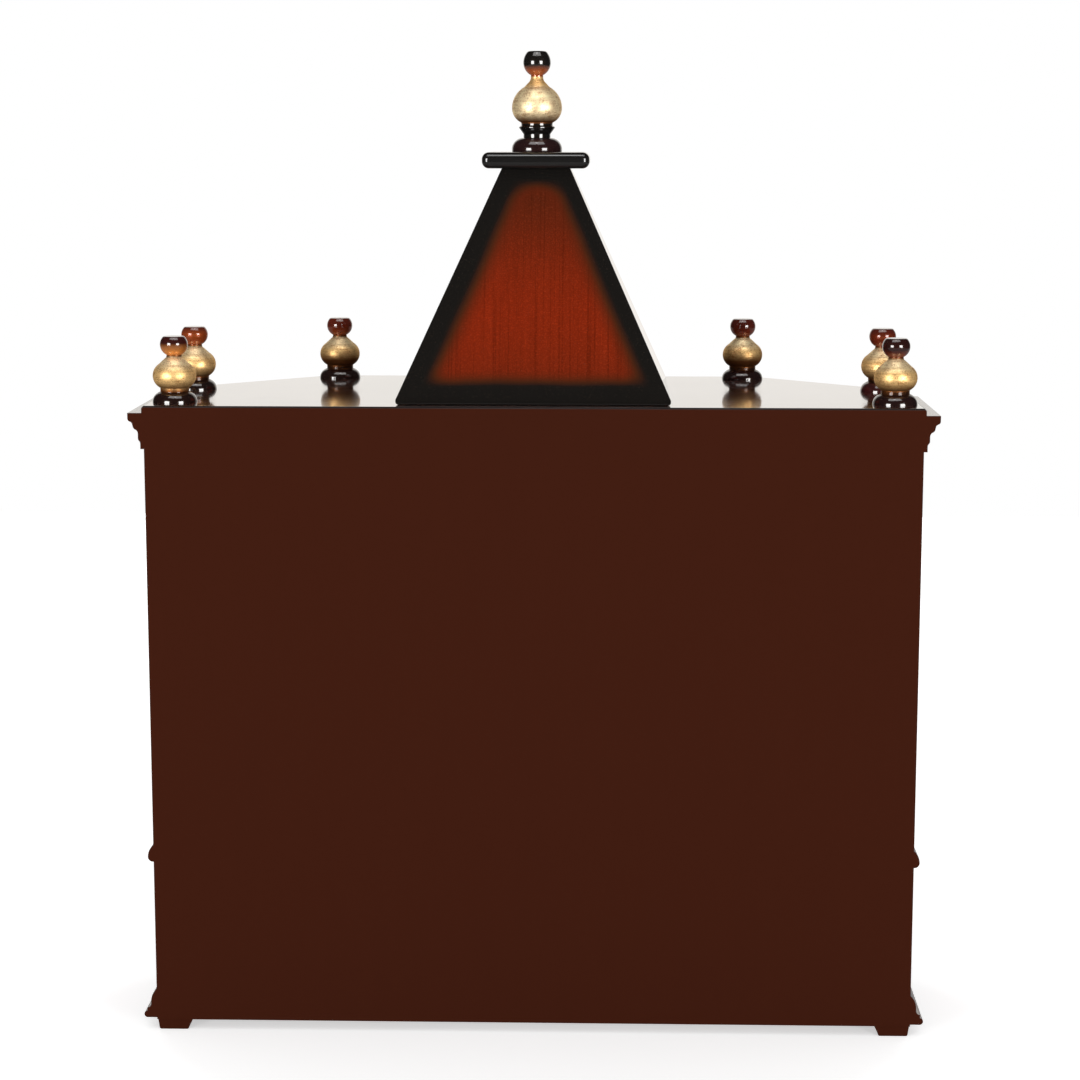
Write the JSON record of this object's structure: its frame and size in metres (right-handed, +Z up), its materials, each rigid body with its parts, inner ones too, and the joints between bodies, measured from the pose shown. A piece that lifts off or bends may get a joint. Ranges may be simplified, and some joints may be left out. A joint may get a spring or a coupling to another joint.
{
  "type": "pooja mandir shrine cabinet",
  "caption": "Half-octagon wooden home shrine with a glossy deck, hollow sunburst spire, gilded turned finials, pillared open bays and a drawer below.",
  "frame": {"origin": "on the floor, at the middle of the width and of the depth over the drawer's knob", "axes": "+Z up, the front faces -Y, the back lies against the wall on the +Y side, +X to the right as seen from the front"},
  "size_m": [0.61, 0.2758, 0.755],
  "materials": {
    "back_paint": "flat brown paint on the back and the feet",
    "mahogany_lacquer": "glossy reddish brown lacquer over wood grain",
    "panel_lacquer": "glossy reddish brown lacquer with near-black shaded edges",
    "moulding_lacquer": "glossy near-black brown lacquer",
    "deck_lacquer": "mirror-like near-black lacquer",
    "sunburst_lacquer": "satin red-brown grain fading to near-black edges",
    "black_lacquer": "glossy black lacquer",
    "gilded_turning": "gilded ball between dark translucent lacquered ends",
    "pillar_turning": "dark lacquered turning with gilded vase and rings",
    "gilt": "brushed gold paint"
  },
  "bodies": {
    "root": {"back_panel": "back_paint", "left_side_panel": "mahogany_lacquer", "right_side_panel": "mahogany_lacquer", "bottom_board": "mahogany_lacquer", "platform_board": "mahogany_lacquer", "deck_board": "deck_lacquer", "left_chamfer_panel": "panel_lacquer", "right_chamfer_panel": "panel_lacquer", "front_rail": "mahogany_lacquer", "front_stile_left": "mahogany_lacquer", "front_stile_right": "mahogany_lacquer", "drawer_front": "panel_lacquer", "drawer_knob": "gilt", "foot_rear_left": "back_paint", "foot_rear_right": "back_paint", "foot_front_left": "back_paint", "foot_front_right": "back_paint", "mid_pillar_left": "pillar_turning", "mid_pillar_right": "pillar_turning", "front_pillar_left": "pillar_turning", "front_pillar_right": "pillar_turning", "front_arch": "mahogany_lacquer", "left_arch": "mahogany_lacquer", "right_arch": "mahogany_lacquer", "base_moulding_front": "moulding_lacquer", "base_moulding_bays": "moulding_lacquer", "base_moulding_sides": "moulding_lacquer", "waist_moulding_front": "moulding_lacquer", "waist_moulding_bays": "moulding_lacquer", "waist_moulding_sides": "moulding_lacquer", "crown_moulding_front": "moulding_lacquer", "crown_moulding_bays": "moulding_lacquer", "crown_moulding_sides": "moulding_lacquer", "spire_back": "sunburst_lacquer", "spire_front": "sunburst_lacquer", "spire_left": "sunburst_lacquer", "spire_right": "sunburst_lacquer", "cap_slab": "black_lacquer", "peak_finial": "gilded_turning", "finial_rear_left": "gilded_turning", "finial_rear_right": "gilded_turning", "finial_mid_left": "gilded_turning", "finial_mid_right": "gilded_turning", "finial_front_left": "gilded_turning", "finial_front_right": "gilded_turning"}
  },
  "joints": []
}
